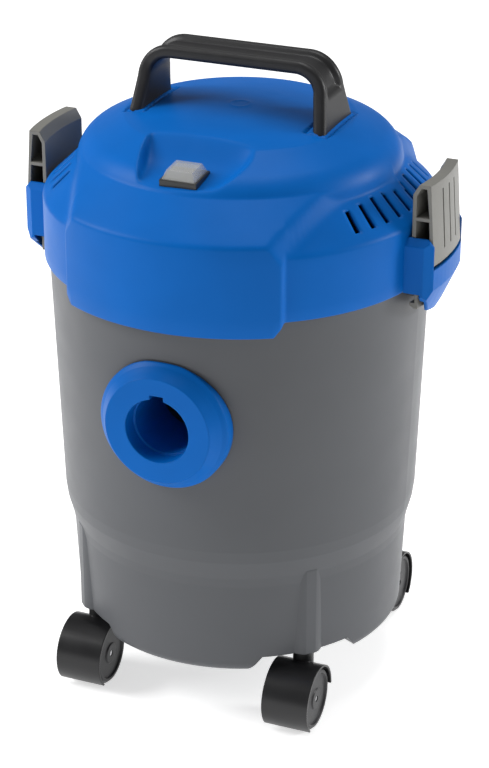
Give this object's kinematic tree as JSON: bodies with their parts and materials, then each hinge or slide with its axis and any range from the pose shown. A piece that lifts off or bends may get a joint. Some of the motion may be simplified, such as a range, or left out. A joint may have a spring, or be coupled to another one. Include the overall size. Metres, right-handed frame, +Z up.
{
  "type": "wet and dry shop vacuum",
  "caption": "Blue and grey shop vacuum with a lift-off motor lid, side latches, strap handle, front hose inlet and swivel casters.",
  "frame": {"origin": "centre of the tank on the floor", "axes": "+Z up, the hose inlet faces -Y, the latches are on +X and -X"},
  "size_m": [0.3428, 0.3154, 0.514],
  "materials": {
    "tank_grey": "fine satin texture, moulded",
    "gasket_black": "soft moulded rubber",
    "lid_blue": "semi-gloss moulded",
    "handle_grey": "fine texture, moulded",
    "screw_steel": "zinc plated",
    "latch_grey": "satin moulded",
    "pin_steel": "ground",
    "switch_black": "satin",
    "switch_grey": "gloss",
    "switch_clear": "clear soft plastic",
    "pan_black": "moulded",
    "fan_metal": "pressed sheet",
    "motor_iron": "varnished laminations",
    "brush_carbon": "pressed carbon",
    "foam_grey": "open-cell foam",
    "float_white": "smooth hollow ball",
    "filter_paper": "pleated filter paper",
    "caster_black": "semi-gloss moulded",
    "stem_steel": "bright plated",
    "wheel_black": "moulded nylon"
  },
  "bodies": {
    "tank_assembly": {"tank": "tank_grey", "tank_gasket": "gasket_black", "inlet_socket": "lid_blue", "inlet_gasket": "gasket_black", "inlet_ring_nut": "lid_blue", "inlet_deflector": "tank_grey"},
    "lid_assembly": {"lid_shell": "lid_blue", "handle": "handle_grey", "handle_screws": "screw_steel", "switch_frame": "switch_black", "switch_cover": "switch_clear", "latch_pins": "pin_steel", "motor_pan": "pan_black", "pan_screws": "screw_steel", "fan_seal": "gasket_black", "fan_housing": "fan_metal", "motor_stator": "motor_iron", "motor_bracket": "fan_metal", "motor_bearings": "pin_steel", "carbon_brushes": "brush_carbon", "motor_top_mount": "gasket_black", "exhaust_foam": "foam_grey", "filter_cage": "pan_black", "filter_cartridge": "filter_paper", "filter_end_cap": "pan_black", "filter_nut": "pan_black"},
    "rocker": {"switch_rocker": "switch_grey"},
    "left_latch": {"latch_left": "latch_grey"},
    "right_latch": {"latch_right": "latch_grey"},
    "rotor": {"impeller": "fan_metal", "motor_rotor": "motor_iron", "motor_shaft": "pin_steel"},
    "float": {"float_ball": "float_white"},
    "caster_fl": {"caster_hood_fl": "caster_black", "caster_stem_fl": "stem_steel", "caster_axle_fl": "stem_steel"},
    "left_wheel_fl": {"wheel_left_fl": "wheel_black"},
    "right_wheel_fl": {"wheel_right_fl": "wheel_black"},
    "caster_fr": {"caster_hood_fr": "caster_black", "caster_stem_fr": "stem_steel", "caster_axle_fr": "stem_steel"},
    "left_wheel_fr": {"wheel_left_fr": "wheel_black"},
    "right_wheel_fr": {"wheel_right_fr": "wheel_black"},
    "caster_rl": {"caster_hood_rl": "caster_black", "caster_stem_rl": "stem_steel", "caster_axle_rl": "stem_steel"},
    "left_wheel_rl": {"wheel_left_rl": "wheel_black"},
    "right_wheel_rl": {"wheel_right_rl": "wheel_black"},
    "caster_rr": {"caster_hood_rr": "caster_black", "caster_stem_rr": "stem_steel", "caster_axle_rr": "stem_steel"},
    "left_wheel_rr": {"wheel_left_rr": "wheel_black"},
    "right_wheel_rr": {"wheel_right_rr": "wheel_black"}
  },
  "joints": [
    {"name": "lid_lift", "type": "slide", "parent": "tank_assembly", "child": "lid_assembly", "axis": [0, 0, 1], "range_m": [0, 0.25]},
    {"name": "left_latch_hinge", "type": "hinge", "parent": "lid_assembly", "child": "left_latch", "pos_m": [-0.1575, 0, 0.372], "axis": [0, -1, 0], "range_deg": [0, 8]},
    {"name": "right_latch_hinge", "type": "hinge", "parent": "lid_assembly", "child": "right_latch", "pos_m": [0.1575, 0, 0.372], "axis": [0, 1, 0], "range_deg": [0, 8]},
    {"name": "rocker_hinge", "type": "hinge", "parent": "lid_assembly", "child": "rocker", "pos_m": [0, -0.10392, 0.44037], "axis": [0, 0.9968, 0.0802], "range_deg": [0, 14]},
    {"name": "rotor_spin", "type": "hinge", "parent": "lid_assembly", "child": "rotor", "pos_m": [0, 0, 0.4], "axis": [0, 0, 1], "continuous": true},
    {"name": "float_rise", "type": "slide", "parent": "lid_assembly", "child": "float", "axis": [0, 0, 1], "range_m": [0, 0.061]},
    {"name": "swivel_fl", "type": "hinge", "parent": "tank_assembly", "child": "caster_fl", "pos_m": [-0.089, -0.085, 0.077], "axis": [0, 0, 1], "continuous": true},
    {"name": "left_spin_fl", "type": "hinge", "parent": "caster_fl", "child": "left_wheel_fl", "pos_m": [-0.1002, -0.099, 0.025], "axis": [1, 0, 0], "continuous": true},
    {"name": "right_spin_fl", "type": "hinge", "parent": "caster_fl", "child": "right_wheel_fl", "pos_m": [-0.0778, -0.099, 0.025], "axis": [1, 0, 0], "continuous": true},
    {"name": "swivel_fr", "type": "hinge", "parent": "tank_assembly", "child": "caster_fr", "pos_m": [0.089, -0.085, 0.077], "axis": [0, 0, 1], "continuous": true},
    {"name": "left_spin_fr", "type": "hinge", "parent": "caster_fr", "child": "left_wheel_fr", "pos_m": [0.0778, -0.099, 0.025], "axis": [1, 0, 0], "continuous": true},
    {"name": "right_spin_fr", "type": "hinge", "parent": "caster_fr", "child": "right_wheel_fr", "pos_m": [0.1002, -0.099, 0.025], "axis": [1, 0, 0], "continuous": true},
    {"name": "swivel_rl", "type": "hinge", "parent": "tank_assembly", "child": "caster_rl", "pos_m": [-0.089, 0.085, 0.077], "axis": [0, 0, 1], "continuous": true},
    {"name": "left_spin_rl", "type": "hinge", "parent": "caster_rl", "child": "left_wheel_rl", "pos_m": [-0.1002, 0.099, 0.025], "axis": [1, 0, 0], "continuous": true},
    {"name": "right_spin_rl", "type": "hinge", "parent": "caster_rl", "child": "right_wheel_rl", "pos_m": [-0.0778, 0.099, 0.025], "axis": [1, 0, 0], "continuous": true},
    {"name": "swivel_rr", "type": "hinge", "parent": "tank_assembly", "child": "caster_rr", "pos_m": [0.089, 0.085, 0.077], "axis": [0, 0, 1], "continuous": true},
    {"name": "left_spin_rr", "type": "hinge", "parent": "caster_rr", "child": "left_wheel_rr", "pos_m": [0.0778, 0.099, 0.025], "axis": [1, 0, 0], "continuous": true},
    {"name": "right_spin_rr", "type": "hinge", "parent": "caster_rr", "child": "right_wheel_rr", "pos_m": [0.1002, 0.099, 0.025], "axis": [1, 0, 0], "continuous": true}
  ]
}
